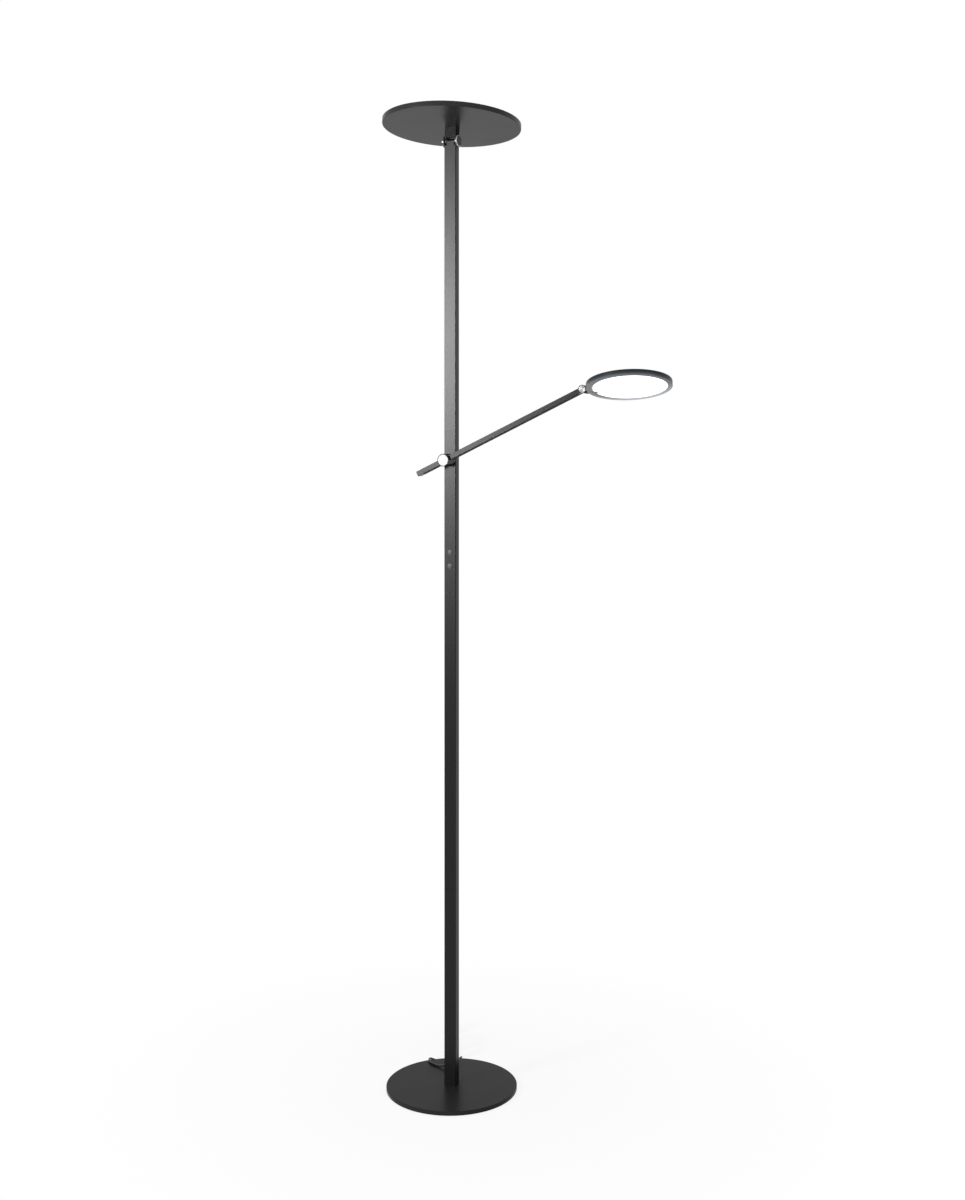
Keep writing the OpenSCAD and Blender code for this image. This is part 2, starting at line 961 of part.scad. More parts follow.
module knuckle_pin() {
    r = knuckle_cap_d / 2;
    t = knuckle_cap_t;
    color("silver")
        at_arm_end() {
            translate([0, -arm_d / 2, 0])
                rotate([90, 0, 0])
                    rotate_extrude($fn = 96)
                        polygon([[0, 0], [r, 0], [r, t - 0.5], [r - 0.5, t], [r - 1.6, t],
                            [r - 2, t - 0.4], [0, t - 0.4]]);
            y_rod(knuckle_pin_d / 2, -arm_d / 2 - little, arm_d / 2 + knuckle_nut_h - 0.4);
        }
}

module knuckle_nut() {
    color("silver")
        at_arm_end()
            difference() {
                y_rod(knuckle_nut_d / 2, arm_d / 2, arm_d / 2 + knuckle_nut_h);
                y_rod(knuckle_pin_d / 2 + running, -arm_d, arm_d);
            }
}

module knuckle_tongue() {
    color("black")
        at_knuckle()
            difference() {
                union() {
                    y_rod(knuckle_r - 0.4, -tongue_t / 2, tongue_t / 2);
                    translate([0, tongue_t / 2, 0])
                        rotate([90, 0, 0])
                            linear_extrude(height = tongue_t)
                                polygon([[0, -6.8], [5.4, -neck_low], [neck_end, -neck_low],
                                    [neck_end, neck_top], [4, neck_top + 0.6], [0, 6.8]]);
                    block(neck_in, neck_end, -neck_w / 2, neck_w / 2, -neck_low, neck_top);
                }
                y_rod(knuckle_pin_d / 2 + running, -arm_d, arm_d);
                translate([0, 0, -swivel_drop])
                    x_rod(swivel_r + running, 4, reach);
            }
}

// Reading light

module swivel_pin() {
    color("silver")
        at_swivel()
            difference() {
                union() {
                    x_rod(swivel_r, 4.1, reach - clip_pocket + slip);
                    x_rod(groove_r, reach - clip_pocket, reach - clip_pocket + clip_t + 0.3);
                    x_rod(swivel_r, reach - clip_pocket + clip_t + 0.2, reach - swivel_end);
                }
                x_rod(1.2, 0, reach);
            }
}

module swivel_clip() {
    x0 = reach - clip_pocket + slip;
    color("silver")
        at_swivel()
            difference() {
                x_rod(clip_r, x0, x0 + clip_t - 0.1);
                x_rod(groove_r + 0.05, 0, reach);
            }
}

module reading_pan() {
    r = reading_r;
    e = 1;
    h = reading_t / 2;
    color("dimgray")
        at_lower_disc()
            difference() {
                union() {
                    difference() {
                        rotate_extrude($fn = 128)
                            polygon([[0, reading_face], [r, reading_face], [r, h - e],
                                [r - 0.3 * e, h - 0.3 * e], [r - e, h], [0, h]]);
                        translate([0, 0, reading_face - 1])
                            cylinder(r = r - pan_wall, h = h - pan_wall - reading_face + 1,
                                $fn = 128);
                    }
                    z_ring(38, 41, reading_stack, h - pan_wall + little);
                    z_ring(r - 17, r - 14, reading_stack, h - pan_wall + little);
                    block(-r + pan_wall / 2, -socket_in, -socket_w / 2, socket_w / 2,
                        reading_face, h - pan_wall + little);
                }
                x_rod(swivel_r + running, -2 * r, 0);
                x_rod(clip_r + 0.3, -clip_pocket, 0);
            }
}

module socket_notch(extra) {
    block(-reading_d, -socket_in + extra, -socket_w / 2 - extra, socket_w / 2 + extra,
        -reading_d, reading_d);
}

module reading_reflector() {
    color("white")
        at_lower_disc()
            difference() {
                translate([0, 0, reading_stack - sheet_t])
                    cylinder(r = reading_r - pan_wall - 0.3, h = sheet_t);
                socket_notch(1.2);
            }
}

module reading_led_strip() {
    color("khaki")
        at_lower_disc()
            led_ring(reading_r - pan_wall - slip, reading_stack - sheet_t - guide_t, 30,
                12);
}

module reading_guide() {
    color("aliceblue")
        at_lower_disc()
            difference() {
                translate([0, 0, reading_stack - sheet_t - guide_t])
                    cylinder(r = reading_r - pan_wall - strip_t - led_h - 0.5, h = guide_t);
                socket_notch(1.2);
            }
}

module reading_diffuser() {
    color("white")
        at_lower_disc()
            difference() {
                translate([0, 0, reading_face])
                    cylinder(r = reading_r - pan_wall - slip, h = diffuser_t);
                socket_notch(0.3);
            }
}

module reading_ring() {
    color("silver")
        at_lower_disc()
            translate([0, 0, reading_face]) {
                mirror([0, 0, 1])
                    trim_ring(reading_r, reading_r - reading_ring, ring_lip);
                translate([-tab_in, 0, -ring_lip])
                    cylinder(r = tab_r, h = ring_lip);
                block(-reading_r + 1, -tab_in, -tab_r, tab_r, -ring_lip, 0);
            }
}

// Cord

module cord_relief() {
    color("black")
        translate([0, 0, outlet_z])
            rotate([-90, 0, 0])
                rotate_extrude()
                    polygon([[0, inner_y - 1.7], [5, inner_y - 1.7], [5, inner_y - 0.1],
                        [relief_neck_d / 2, inner_y - 0.1],
                        [relief_neck_d / 2, pole_d / 2 + 0.1],
                        [relief_d / 2, pole_d / 2 + 0.1], [relief_d / 2, pole_d / 2 + 3],
                        [relief_tip_d / 2, pole_d / 2 + relief_len],
                        [0, pole_d / 2 + relief_len]]);
}

function unit(v) = v / norm(v);

function heading(p, i) =
    unit(p[min(i + 1, len(p) - 1)] - p[max(i - 1, 0)]);

function ring_point(c, h, r, a) =
    let (s = unit(cross([0, 0, 1], h)), u = cross(h, s))
        c + r * cos(a) * s + r * sin(a) * u;

// A tube of radius r along the points p: n sides, triangles only, flat ends. No stretch
// of it may run along z.
module tube(p, r, n) {
    m = len(p);
    points = [
        for (i = [0:m - 1])
            for (k = [0:n - 1])
                ring_point(p[i], heading(p, i), r, k * 360 / n)
    ];
    walls = [
        for (i = [0:m - 2])
            for (k = [0:n - 1])
                let (a = i * n + k, b = i * n + (k + 1) % n)
                    for (f = [[a, a + n, b + n], [a, b + n, b]]) f
    ];
    ends = [
        for (k = [1:n - 2])
            for (f = [[0, k, k + 1], [(m - 1) * n, (m - 1) * n + k + 1, (m - 1) * n + k]])
                f
    ];
    polyhedron(points = points, faces = concat(walls, ends));
}

module cord_lead() {
    color("black")
        tube(lead_route, cord_d / 2, lead_sides);
}

function spiral(u) =
    u < 0 ? 1.5 - u :
    u > hank_loops ? u - hank_loops + 1.5 :
    abs(1.5 - (u - 3 * floor(u / 3)));

function ease(t) = let (s = min(max(t, 0), 1)) s * s * (3 - 2 * s);

function draw(x) = hank_draw * (1 + cos(180 * x / hank_half)) / 2;

function hank_point(i) =
    let (r = hank_r + hank_step * spiral(i / hank_steps),
        q = (i + 2) % hank_steps,
        xa = -hank_half + hank_half * q / 2,
        xb = hank_half - hank_half * (q - 12) / 2,
        fa = 90 - (q - 4) * 22.5,
        fb = -90 - (q - 16) * 22.5,
        z = hank_rise * (ease((i - 34) / 4) + ease((i - 70) / 4)
            + ease((i - 106) / 4)))
        q <= 4 ? [xa, r - draw(xa), z] :
        q <= 12 ? [hank_half + r * cos(fa), r * sin(fa), z] :
        q <= 16 ? [xb, -r + draw(xb), z] :
        [-hank_half + r * cos(fb), r * sin(fb), z];

// A short straight start, the loops, then the tail that runs to the plug.
hank_last_z = 3 * hank_rise;
hank_out = hank_r + hank_step * spiral(hank_last / hank_steps);
hank_head = [[-38, hank_out, 0]];
hank_tail = [[38.5, hank_out, hank_last_z], [46, 18, 12.6], [54, 13.6, 10.6],
    [62, 8.2, 8.2], [69.5, 4.7, 6.9], [74, plug_drop, hank_last_z / 2],
    [plug_x, plug_drop, hank_last_z / 2]];
hank_loop_points = [for (i = [-2:hank_last]) hank_point(i)];
hank_points = concat(hank_head, hank_loop_points, hank_tail);

// Least distance between the tube's surfaces, over all pairs of points that are not
// neighbours on the same loop.
hank_gap = min([
    for (i = [0:len(hank_points) - 1])
        for (j = [i + 5:1:len(hank_points) - 1])
            norm(hank_points[i] - hank_points[j])
]) - cord_d;
echo(least_hank_gap = hank_gap);

module cord_hank() {
    color("black")
        at_hank()
            tube(hank_points, cord_d / 2, hank_sides);
}

module cord_tie() {
    side_a = hank_r + 1.5 * hank_step - hank_draw + cord_d / 2 + 0.7;
    side_b = hank_r + hank_step - hank_draw + cord_d / 2 + 0.7;
    low = -cord_d / 2 - 0.4;
    high = hank_last_z + cord_d / 2 + 0.4;
    color("black")
        at_hank()
            difference() {
                block(-tie_w / 2, tie_w / 2, -side_b - tie_t, side_a + tie_t,
                    low - tie_t, high + tie_t);
                block(-tie_w, tie_w, -side_b, side_a, low, high);
            }
}

module mains_plug() {
    color("black")
        at_hank()
            translate([plug_x, plug_drop, hank_last_z / 2]) {
                translate([0, 0, -plug_t / 2])
                    linear_extrude(height = plug_t)
                        polygon([[0, -plug_back_w / 2], [8, -plug_back_w / 2],
                            [plug_len - 9, -plug_w / 2], [plug_len, -plug_w / 2],
                            [plug_len, plug_w / 2], [plug_len - 9, plug_w / 2],
                            [8, plug_back_w / 2], [0, plug_back_w / 2]]);
                for (y = [-1, 1])
                    translate([0, y * plug_pin_pitch / 2, 0])
                        x_rod(plug_pin_d / 2, plug_len - 1, plug_len + plug_pin_len);
            }
}

base_plate();
base_pad();
foot_plug();
base_bolt();
base_washer();
pole_foot();
pole_lower();
pole_upper();
pole_top();
joint_sleeves();
led_driver();
supply_wire();
pole_wire();
switch_board();
board_carrier();
button_upper();
button_lower();
hinge_tongue();
hinge_washers();
hinge_fork();
hinge_pin();
hinge_nut();
hinge_caps();
uplight_pan();
uplight_screws();
uplight_reflector();
uplight_led_strip();
uplight_guide();
uplight_diffuser();
uplight_ring();
pivot_boss();
pivot_plate();
pivot_spindle();
friction_washer();
spring_washer();
pivot_nut();
arm_barrel();
pivot_cap();
arm_stub();
arm_end_cap();
arm_tube();
arm_wire();
arm_fork();
knuckle_pin();
knuckle_nut();
knuckle_tongue();
swivel_pin();
swivel_clip();
reading_pan();
reading_reflector();
reading_led_strip();
reading_guide();
reading_diffuser();
reading_ring();
cord_relief();
cord_lead();
cord_hank();
cord_tie();
mains_plug();
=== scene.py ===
"""Looks of the floor lamp. Metres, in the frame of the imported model."""

import json
import math

import bpy
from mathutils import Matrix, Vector


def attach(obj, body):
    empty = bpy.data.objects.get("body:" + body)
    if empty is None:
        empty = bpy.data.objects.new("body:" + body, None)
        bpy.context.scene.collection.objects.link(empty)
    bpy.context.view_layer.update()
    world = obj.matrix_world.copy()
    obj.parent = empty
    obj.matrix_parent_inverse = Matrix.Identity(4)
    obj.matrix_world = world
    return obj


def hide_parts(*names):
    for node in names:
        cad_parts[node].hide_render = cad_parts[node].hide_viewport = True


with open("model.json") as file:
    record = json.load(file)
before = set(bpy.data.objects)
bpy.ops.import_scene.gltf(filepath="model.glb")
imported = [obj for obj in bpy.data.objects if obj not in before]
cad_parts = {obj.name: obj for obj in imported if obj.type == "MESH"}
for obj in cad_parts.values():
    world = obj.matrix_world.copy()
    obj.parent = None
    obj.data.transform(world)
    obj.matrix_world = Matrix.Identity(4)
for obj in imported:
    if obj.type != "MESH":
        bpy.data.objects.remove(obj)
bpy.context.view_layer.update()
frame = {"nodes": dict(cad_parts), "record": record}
nodes = frame["nodes"]
scene = bpy.context.scene
MM = 0.001

# Middles of the moving pieces at rest, and how far the two discs are turned there.
HINGE = (0, 0, 1.8377)
PIVOT = (0, 0, 1.2196)
KNUCKLE = (0.28595, 0, 1.35173)
UPPER_TURN = (math.radians(-5.9), 0, 0)
READING = (0.3749, -0.0245, 1.3582)
READING_TURN = (math.radians(-13.7), math.radians(-7.4), 0)

# The upper disc's middle, over the hinge and in front of it along the disc's own axes.
UPPER_RISE = 0.0275
UPPER_FORWARD = 0.003
UPPER_DISC = (0,
              -UPPER_FORWARD * math.cos(UPPER_TURN[0])
              - UPPER_RISE * math.sin(UPPER_TURN[0]),
              HINGE[2] - UPPER_FORWARD * math.sin(UPPER_TURN[0])
              + UPPER_RISE * math.cos(UPPER_TURN[0]))


def link(obj):
    scene.collection.objects.link(obj)
    return obj


# ---- Camera: height, distance and lens found from the photograph's lines.

camera_data = bpy.data.cameras.new("camera")
camera_data.sensor_fit = "AUTO"
camera_data.sensor_width = 36
camera_data.lens = 46.36
camera_data.shift_x = -0.01412
camera_data.shift_y = -0.12908
camera_data.clip_end = 60
camera = link(bpy.data.objects.new("camera", camera_data))
camera.location = (1.3519, -2.6798, 1.24845)
camera.rotation_euler = (math.radians(90), 0, math.radians(25))
scene.camera = camera


# ---- Cord: the lead, the hank and its tail on one line, as the part's source has them.
# All in mm, until the whole line is scaled to metres.

CORD_D = 4.0
LEAD = [(0, 31, 45), (0, 35, 45), (0, 38.5, 45), (-1.5, 45, 43.8), (-4.5, 50.8, 41.2),
        (-8.7, 55.2, 37.7), (-13.8, 58.2, 33.7), (-19.3, 60, 29.6), (-25.1, 60.8, 25.6),
        (-31.1, 61, 21.8), (-37.4, 61, 18.4), (-43.9, 60.8, 15.5), (-50.6, 60.9, 13.2),
        (-57.5, 61.4, 11.6), (-64.5, 62.5, 11), (-71.4, 64.4, 11), (-78, 67.1, 11),
        (-83.9, 71, 11), (-88.8, 76.2, 11.2), (-91.8, 82.6, 11.4), (-93, 89.5, 10.1),
        (-90.2, 95.4, 7), (-85.7, 99.9, 4), (-79.8, 103.4, 2.4), (-74, 107.5, 2.1),
        (-70.1, 113.3, 2.1), (-69.2, 120.2, 2.1), (-71.34, 126.36, 2.14)]
# The hank's place: its direction, how far it is behind the pole, to the right of the line
# of sight through the pole, and above the floor.
HANK_DIR = math.radians(26.8)
HANK_T = 187
HANK_Q = -6.7
HANK_C = 21.4
# Its shape: half its straight run, the radius of its least loop, the step from loop to
# loop and from layer to layer, and how far the tie draws the runs in.
HANK_HALF = 34
HANK_R = 12.1
HANK_STEP = 4.52
HANK_RISE = 4.45
HANK_DRAW = 4
# Points on a loop: 4 on each straight run and 8 on each half circle.
HANK_STEPS = 24
HANK_LOOPS = 6
# The line climbs to the next layer over HANK_CLIMB points, from each of HANK_CLIMBS.
HANK_CLIMB = 4
HANK_CLIMBS = (34, 70, 106)
HANK_TAIL = [(46, 18, 12.6), (54, 13.6, 10.6), (62, 8.2, 8.2), (69.5, 4.7, 6.9),
             (74, 3.9, 6.675), (78, 3.9, 6.675)]


def spiral(u):
    """How many steps loop u is wider than the least one. The loops run inwards and
    outwards by turns, and both ends of the line leave outwards."""
    if u < 0:
        return 1.5 - u
    if u > HANK_LOOPS:
        return u - HANK_LOOPS + 1.5
    return abs(1.5 - (u - 3 * math.floor(u / 3)))


def ease(t):
    """Smooth step from 0 to 1."""
    s = min(max(t, 0), 1)
    return s * s * (3 - 2 * s)


def draw_in(x):
    """How far the tie draws the straight run in, at x."""
    return HANK_DRAW * (1 + math.cos(math.pi * x / HANK_HALF)) / 2


def hank_point(i):
    """Point i of the hank's loops, in its own frame. i may be a fraction."""
    r = HANK_R + HANK_STEP * spiral(i / HANK_STEPS)
    q = (i + 2) % HANK_STEPS
    z = HANK_RISE * sum(ease((i - c) / HANK_CLIMB) for c in HANK_CLIMBS)
    if q <= 4:
        x = -HANK_HALF + HANK_HALF * q / 2
        return (x, r - draw_in(x), z)
    if q <= 12:
        a = math.radians(90 - (q - 4) * 22.5)
        return (HANK_HALF + r * math.cos(a), r * math.sin(a), z)
    if q <= 16:
        x = HANK_HALF - HANK_HALF * (q - 12) / 2
        return (x, -r + draw_in(x), z)
    a = math.radians(-90 - (q - 16) * 22.5)
    return (-HANK_HALF + r * math.cos(a), r * math.sin(a), z)


def from_hank(p):
    """From the hank's frame to the lamp's: x runs away from the camera along the line on
    which the pole stands, y down and z to the right."""
    t, q = HANK_T + p[0], HANK_Q + p[2]
    return (-math.sin(HANK_DIR) * t + math.cos(HANK_DIR) * q,
            math.cos(HANK_DIR) * t + math.sin(HANK_DIR) * q, HANK_C - p[1])


def smooth(points, steps=4):
    """Catmull-Rom line through the points, with steps from each to the next."""
    p = [Vector(v) for v in points]
    p = [2 * p[0] - p[1]] + p + [2 * p[-1] - p[-2]]
    line = []
    for a, b, c, d in zip(p, p[1:], p[2:], p[3:]):
        for k in range(steps):
            t = k / steps
            line.append(0.5 * (2 * b + (c - a) * t + (2 * a - 5 * b + 4 * c - d) * t * t
                               + (3 * b - a - 3 * c + d) * t ** 3))
    line.append(p[-2])
    return line


# The loops in half steps, with two points more at each end. The tail leaves them where
# the last straight run ends, at TAIL_X.
TAIL_X = 38.5
loops = [hank_point(-2 + k / 2) for k in range(2 * (HANK_LOOPS * HANK_STEPS + 4) + 1)]
loop_end = loops[-1]
tail = smooth([loop_end, (TAIL_X, loop_end[1], loop_end[2])] + HANK_TAIL)
hank_start = from_hank((-HANK_HALF - CORD_D, loops[0][1], 0))
cord_line = smooth(LEAD + [hank_start])
cord_line += [Vector(from_hank(p)) for p in loops[:-1]]
cord_line += [Vector(from_hank(p)) for p in tail]
cord_line = [p * MM for p in cord_line]

# The thickness is in the points' radius, because the curve's box takes that in too.
cord_curve = bpy.data.curves.new("cord", "CURVE")
cord_curve.dimensions = "3D"
cord_curve.bevel_depth = 1
cord_curve.bevel_resolution = 3
cord_curve.use_fill_caps = True
spline = cord_curve.splines.new("POLY")
spline.points.add(len(cord_line) - 1)
for point, place in zip(spline.points, cord_line):
    point.co = (*place, 1)
    point.radius = CORD_D / 2 * MM
spline.use_smooth = True
cord = link(bpy.data.objects.new("cord", cord_curve))
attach(cord, "stand")
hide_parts("cord_lead", "cord_hank")


# ---- Materials

def rgb(code):
    """Linear colour of an sRGB hex code."""
    out = []
    for k in (0, 2, 4):
        v = int(code[k:k + 2], 16) / 255
        out.append(v / 12.92 if v <= 0.04045 else ((v + 0.055) / 1.055) ** 2.4)
    return (*out, 1)


def add(tree, kind, **values):
    """Adds a node; values are its settings or, by name, its inputs."""
    node = tree.nodes.new(kind)
    for key, value in values.items():
        if hasattr(node, key):
            setattr(node, key, value)
        else:
            node.inputs[key.replace("_", " ")].default_value = value
    return node


SPREAD_SIZE = 60


def material(name, colour, rough, metal=0.0, spread=0.0, grain=0.0, bump=0.0, **more):
    """A Principled finish. spread varies the roughness softly over SPREAD_SIZE mm, grain
    is the size of the surface's own texture in mm and bump its depth in mm."""
    mat = bpy.data.materials.new(name)
    mat.use_nodes = True
    tree = mat.node_tree
    shader = tree.nodes["Principled BSDF"]
    shader.inputs["Base Color"].default_value = rgb(colour)
    shader.inputs["Metallic"].default_value = metal
    shader.inputs["Roughness"].default_value = rough
    for key, value in more.items():
        shader.inputs[key.replace("_", " ")].default_value = value
    if spread or grain:
        place = add(tree, "ShaderNodeTexCoord")
    if spread:
        noise = add(tree, "ShaderNodeTexNoise", Scale=1 / (SPREAD_SIZE * MM), Detail=3.0)
        spanned = add(tree, "ShaderNodeMapRange", To_Min=rough - spread,
                      To_Max=rough + spread)
        tree.links.new(place.outputs["Object"], noise.inputs["Vector"])
        tree.links.new(noise.outputs["Fac"], spanned.inputs["Value"])
        tree.links.new(spanned.outputs["Result"], shader.inputs["Roughness"])
    if grain:
        speck = add(tree, "ShaderNodeTexNoise", Scale=1 / (grain * MM), Detail=2.0)
        relief = add(tree, "ShaderNodeBump", Strength=0.6, Distance=bump * MM)
        tree.links.new(place.outputs["Object"], speck.inputs["Vector"])
        tree.links.new(speck.outputs["Fac"], relief.inputs["Height"])
        tree.links.new(relief.outputs["Normal"], shader.inputs["Normal"])
    return mat


def own_place(tree, centre, turn=(0, 0, 0)):
    """Place on a piece, in metres from its own centre and along its own axes at rest."""
    place = add(tree, "ShaderNodeTexCoord")
    local = add(tree, "ShaderNodeMapping", vector_type="TEXTURE", Location=centre,
                Rotation=turn)
    tree.links.new(place.outputs["Object"], local.inputs["Vector"])
    return local.outputs["Vector"]


def flattened(tree, place, axes):
    """The place with one axis dropped, and its distance from the centre."""
    flat = add(tree, "ShaderNodeVectorMath", operation="MULTIPLY")
    flat.inputs[1].default_value = axes
    far = add(tree, "ShaderNodeVectorMath", operation="LENGTH")
    tree.links.new(place, flat.inputs[0])
    tree.links.new(flat.outputs[0], far.inputs[0])
    return flat.outputs[0], far.outputs["Value"]


def split(tree, vector):
    """The vector's three parts, named X, Y and Z."""
    parts = add(tree, "ShaderNodeSeparateXYZ")
    tree.links.new(vector, parts.inputs[0])
    return parts.outputs


def span(tree, value, start, end, low=0.0, high=1.0):
    """Runs evenly from low, at start, to high, at end."""
    step = add(tree, "ShaderNodeMapRange", From_Min=start, From_Max=end, To_Min=low,
               To_Max=high)
    tree.links.new(value, step.inputs["Value"])
    return step.outputs["Result"]


def times(tree, a, b):
    """Product of two values."""
    product = add(tree, "ShaderNodeMath", operation="MULTIPLY")
    tree.links.new(a, product.inputs[0])
    tree.links.new(b, product.inputs[1])
    return product.outputs[0]


def blend(mat, share, first, second):
    """Colours the finish first where share is 0 and second where it is 1."""
    tree = mat.node_tree
    ramp = add(tree, "ShaderNodeValToRGB")
    ramp.color_ramp.elements[0].color = rgb(first)
    ramp.color_ramp.elements[1].color = rgb(second)
    tree.links.new(share, ramp.inputs["Fac"])
    tree.links.new(ramp.outputs["Color"],
                   tree.nodes["Principled BSDF"].inputs["Base Color"])
    return mat


def lit_face(name, colour, strength):
    """An opal diffuser that is switched on."""
    mat = material(name, "f4f6f7", 0.5)
    shader = mat.node_tree.nodes["Principled BSDF"]
    shader.inputs["Emission Color"].default_value = rgb(colour)
    shader.inputs["Emission Strength"].default_value = strength
    return mat


EDGE_SOFT = 0.6 * MM


def coat_with_painted_rim_highlight(name, colour, edge, specular, start, centre=(0, 0, 0), turn=(0, 0, 0)):
    """The satin paint on a round plate, with a painted highlight: its edge, from the
    distance start out from the centre, is painted in the lighter colour edge."""
    mat = material(name, colour, 0.34, spread=0.03, grain=1.2, bump=0.01,
                   Specular_IOR_Level=specular)
    tree = mat.node_tree
    out_from = flattened(tree, own_place(tree, centre, turn), (1, 1, 0))[1]
    return blend(mat, span(tree, out_from, start, start + EDGE_SOFT), colour, edge)


def painted_glow(mat, share, colour):
    """Paints a faint glow of a colour on the piece, by share: painted light. It lights
    nothing else.
    """
    mat.cycles.emission_sampling = "NONE"
    shader = mat.node_tree.nodes["Principled BSDF"]
    shader.inputs["Emission Color"].default_value = rgb(colour)
    mat.node_tree.links.new(share, shader.inputs["Emission Strength"])
    return mat


DIFFUSER_POWER = 1.6

# Finishes by the record's slots.
finish = {
    # Satin metallic paint: nearly black, with a broad soft sheen down the pole.
    "dark_coat": material("satin_dark_coat", "151414", 0.26, spread=0.01, grain=1.2,
                          bump=0.004, Specular_IOR_Level=0.19),
    # Dull zinc on screws and nuts.
    "plated_steel": material("zinc_plate", "b9b8b4", 0.34, metal=1.0, spread=0.04),
    # Grey satin buttons, lighter than the pole.
    "button_grey": material("grey_button", "464648", 0.5, spread=0.02),
    # Satin black moulding: knuckle, strain relief, tie and plug.
    "black_plastic": material("black_moulding", "1a1a1b", 0.46, spread=0.03, grain=0.6,
                              bump=0.01),
    # Smooth flexible cord sheath, a little shinier than the moulding.
    "cord_black": material("cord_sheath", "161617", 0.38, spread=0.03),
    # Matt foam under the base.
    "pad_rubber": material("foam_pad", "1b1b1b", 0.9, grain=0.8, bump=0.05),
    # Clear light guide.
    "guide_clear": material("clear_guide", "f2f6f7", 0.08, Transmission_Weight=0.9),
    # Matt white reflector sheet.
    "sheet_white": material("white_sheet", "f4f4f2", 0.6),
    # White board with yellow emitters.
    "led_board": material("led_strip", "e9dfa8", 0.5),
    # Green solder mask.
    "board_green": material("solder_mask", "17502c", 0.3),
    # Natural nylon washers and the carrier.
    "nylon": material("natural_nylon", "dedacb", 0.5),
    # Plain driver case.
    "driver_case": material("driver_case", "e2e2e0", 0.5),
    # Upper diffuser, lit a cool white.
    "diffuser_white": lit_face("lit_diffuser", "f3f7ff", DIFFUSER_POWER),
}

# The same paint on the heavy plate and on the upper disc's pan, each with a
# painted highlight round its rim.
finish["base_coat"] = coat_with_painted_rim_highlight("satin_base_coat_painted_rim_highlight", "191818", "2b2a2a", specular=0.06,
                               start=0.1257)
disc_coat = coat_with_painted_rim_highlight("satin_disc_coat_painted_rim_highlight", "151414", "343333", specular=0.12,
                     start=0.1342, centre=UPPER_DISC, turn=UPPER_TURN)

# The arm's paint is dull underneath, where its lower edge looks dark.
arm_coat = material("satin_arm_coat", "151414", 0.26, grain=1.2, bump=0.004,
                    Specular_IOR_Level=0.17)
tree = arm_coat.node_tree
faces = split(tree, add(tree, "ShaderNodeTexCoord").outputs["Normal"])["Z"]
tree.links.new(span(tree, faces, start=-0.5, end=-0.8, low=0.26, high=0.75),
               tree.nodes["Principled BSDF"].inputs["Roughness"])

# Pivot's cap: its satin silver face is nearly white. The narrow dark ring painted round
# its edge is a painted reflection of the dark room in the cap's bevel.
pivot_face = material("satin_silver_cap", "e6e6e8", 0.4, Specular_IOR_Level=0.16)
tree = pivot_face.node_tree
out_from = flattened(tree, own_place(tree, PIVOT), (1, 0, 1))[1]
blend(pivot_face, span(tree, out_from, start=0.0104, end=0.0107), "e6e6e8", "2a2a2b")

# The hinge's side caps, in the slot called chrome: glossy grey enamel. A bright edge is
# painted round the outer face of the one on the right only, a painted highlight on its rim.
side_cap = material("glossy_grey_cap", "646160", 0.08, Specular_IOR_Level=0.3)
tree = side_cap.node_tree
place = own_place(tree, HINGE)
outer = span(tree, split(tree, place)["X"], start=0.0154, end=0.0156)
rim = span(tree, flattened(tree, place, (0, 1, 1))[1], start=0.0103, end=0.0105)
edge = times(tree, outer, rim)
finish["chrome"] = blend(side_cap, edge, "646160", "e8e8ea")

# Turned and lacquered face of the knuckle's cap. Fine grooves round the axis would throw
# the light into two opposite fans; they are too fine to show, so the fans are painted on
# as lighter and darker sectors, a painted highlight. The face is darker at its edge.
turned_face_painted_fans = material("turned_steel_painted_fans", "9f9c9b", 0.36, metal=0.12, Specular_IOR_Level=0.2)
tree = turned_face_painted_fans.node_tree
flat, out_from = flattened(tree, own_place(tree, KNUCKLE), (1, 0, 1))
unit = add(tree, "ShaderNodeVectorMath", operation="NORMALIZE")
along = add(tree, "ShaderNodeVectorMath", operation="DOT_PRODUCT")
along.inputs[1].default_value = (0.92, 0, -0.39)
tree.links.new(flat, unit.inputs[0])
tree.links.new(unit.outputs[0], along.inputs[0])
painted_fans = times(tree, along.outputs["Value"], along.outputs["Value"])
painted_fans = span(tree, painted_fans, start=0.2, end=0.95, low=0.4, high=1.0)
face = span(tree, out_from, start=0.0068, end=0.0064)
blend(turned_face_painted_fans, times(tree, painted_fans, face), "343232", "d2d0ce")

# Sleeves inside the pole, burnished, so that the joints show as faint lines.
sleeve_finish = material("burnished_steel", "58585a", 0.4, metal=1.0)

# The reading disc's pan has the lamp's paint. Its wall is painted cooler and lighter, a
# painted sheen, and a painted glow creeps up its near side as light from the diffuser's
# edge.
wall_painted_sheen_glow = material("satin_pan_wall_painted_sheen_glow", "151414", 0.34, Specular_IOR_Level=0.12)
tree = wall_painted_sheen_glow.node_tree
place = own_place(tree, READING, READING_TURN)
wall = span(tree, flattened(tree, place, (1, 1, 0))[1], start=0.0775, end=0.0785)
blend(wall_painted_sheen_glow, wall, "151414", "2a2e31")
parts = split(tree, place)
low = span(tree, parts["Z"], start=0.004, end=-0.0044)
near = span(tree, parts["Y"], start=-0.01, end=-0.06, low=0.12)
painted_glow(wall_painted_sheen_glow, times(tree, times(tree, low, times(tree, low, low)), near), "59616b")

# Grey ring round the diffuser. It is painted lighter near the knuckle and cooler and darker
# away from it, as painted light and shade, with a painted glow along the far side for the
# light behind it.
ring_finish = material("grey_ring", "747271", 0.42)
tree = ring_finish.node_tree
parts = split(tree, own_place(tree, READING, READING_TURN))
blend(ring_finish, span(tree, parts["X"], start=-0.07, end=-0.03), "747271", "585c61")
painted_glow(ring_finish, span(tree, parts["Y"], start=0.01, end=0.07, high=0.4), "e6eaef")
finish["ring_grey"] = ring_finish
